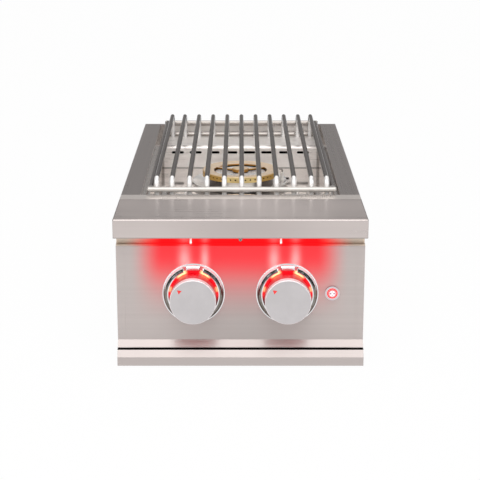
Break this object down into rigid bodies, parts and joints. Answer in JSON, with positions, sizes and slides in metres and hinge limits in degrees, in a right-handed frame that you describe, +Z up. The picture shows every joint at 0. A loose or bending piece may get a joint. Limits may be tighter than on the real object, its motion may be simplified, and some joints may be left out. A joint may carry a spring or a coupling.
{
  "type": "double side burner",
  "caption": "Built-in gas side burner with inline ring burners, lift-off rod grate, lit push-and-turn knobs, light button and pull-out drip tray in a brushed steel housing.",
  "frame": {"origin": "centre of the bounding box's footprint, on the plane of the body's lower edges", "axes": "+X to the user's right, +Y from the control panel to the rear, +Z up"},
  "size_m": [0.33, 0.678, 0.2223],
  "materials": {
    "steel_brushed": "horizontal brushed grain",
    "steel_polished": "polished",
    "steel_tube": "drawn tube",
    "steel_small": "plain",
    "chrome_bezel": "polished",
    "knob_metal": "satin face, polished side",
    "red_lens": "lit red diffuser",
    "lamp_white": "lit diffuser",
    "brass": "turned",
    "ceramic_white": "unglazed",
    "grate_dark": "heat-darkened rod",
    "grate_bright": "bright rod",
    "aluminium_tube": "drawn tube",
    "button_plastic": "satin",
    "button_metal": "polished"
  },
  "bodies": {
    "unit": {"bezel_left": "chrome_bezel", "bezel_right": "chrome_bezel", "bottom_brace": "steel_brushed", "burner_cap_front": "brass", "burner_cap_rear": "brass", "burner_cup_front": "steel_polished", "burner_cup_rear": "steel_polished", "burner_hat_front": "steel_polished", "burner_hat_rear": "steel_polished", "burner_pan": "steel_brushed", "button_housing": "button_metal", "button_nut": "button_metal", "button_ring": "red_lens", "control_panel": "steel_brushed", "drip_bowl_front": "steel_polished", "drip_bowl_rear": "steel_polished", "electrode_insulator_front": "ceramic_white", "electrode_insulator_rear": "ceramic_white", "electrode_wire_front": "steel_small", "electrode_wire_rear": "steel_small", "front_lip": "steel_brushed", "gas_inlet": "brass", "gas_jets": "brass", "gas_manifold": "steel_tube", "gas_valve_left": "brass", "gas_valve_right": "brass", "grate_support": "steel_brushed", "halo_lens_left": "red_lens", "halo_lens_right": "red_lens", "hood_frame": "steel_brushed", "inlet_pipe": "steel_tube", "light_rail": "steel_brushed", "light_strip": "red_lens", "mixing_tube_front": "steel_tube", "mixing_tube_rear": "steel_tube", "rail_lamps": "lamp_white", "rail_screw": "steel_small", "rear_panel": "steel_brushed", "rear_screws": "steel_small", "rear_shelf": "steel_brushed", "runner_screws": "steel_small", "side_panel_left": "steel_brushed", "side_panel_right": "steel_brushed", "supply_tube_left": "aluminium_tube", "supply_tube_right": "aluminium_tube", "tray_runner_left": "steel_brushed", "tray_runner_right": "steel_brushed"},
    "knob_push_left": {"stem_collar_left": "steel_small"},
    "knob_turn_left": {"knob_left": "knob_metal", "valve_stem_left": "steel_small"},
    "knob_push_right": {"stem_collar_right": "steel_small"},
    "knob_turn_right": {"knob_right": "knob_metal", "valve_stem_right": "steel_small"},
    "button": {"button_cap": "button_plastic"},
    "tray": {"drip_tray": "steel_brushed", "tray_front": "steel_brushed"},
    "grate": {"grate_bars": "grate_dark", "grate_front_rods": "grate_bright", "grate_rear_rods": "grate_bright", "grate_side_rods": "grate_dark"}
  },
  "joints": [
    {"name": "knob_push_left", "type": "slide", "parent": "unit", "child": "knob_push_left", "axis": [0, 1, 0], "range_m": [0, 0.003], "stiffness_N_per_m": 1500},
    {"name": "knob_turn_left", "type": "hinge", "parent": "knob_push_left", "child": "knob_turn_left", "pos_m": [-0.0615, -0.313, 0.0962], "axis": [0, -1, 0], "range_deg": [-50, 160]},
    {"name": "knob_push_right", "type": "slide", "parent": "unit", "child": "knob_push_right", "axis": [0, 1, 0], "range_m": [0, 0.003], "stiffness_N_per_m": 1500},
    {"name": "knob_turn_right", "type": "hinge", "parent": "knob_push_right", "child": "knob_turn_right", "pos_m": [0.0615, -0.313, 0.0962], "axis": [0, -1, 0], "range_deg": [-50, 160]},
    {"name": "button_push", "type": "slide", "parent": "unit", "child": "button", "axis": [0, 1, 0], "range_m": [0, 0.0015], "stiffness_N_per_m": 600},
    {"name": "tray_slide", "type": "slide", "parent": "unit", "child": "tray", "axis": [0, -1, 0], "range_m": [0, 0.4]},
    {"name": "grate_lift", "type": "slide", "parent": "unit", "child": "grate", "axis": [0, 0, 1], "range_m": [0, 0.08]}
  ]
}
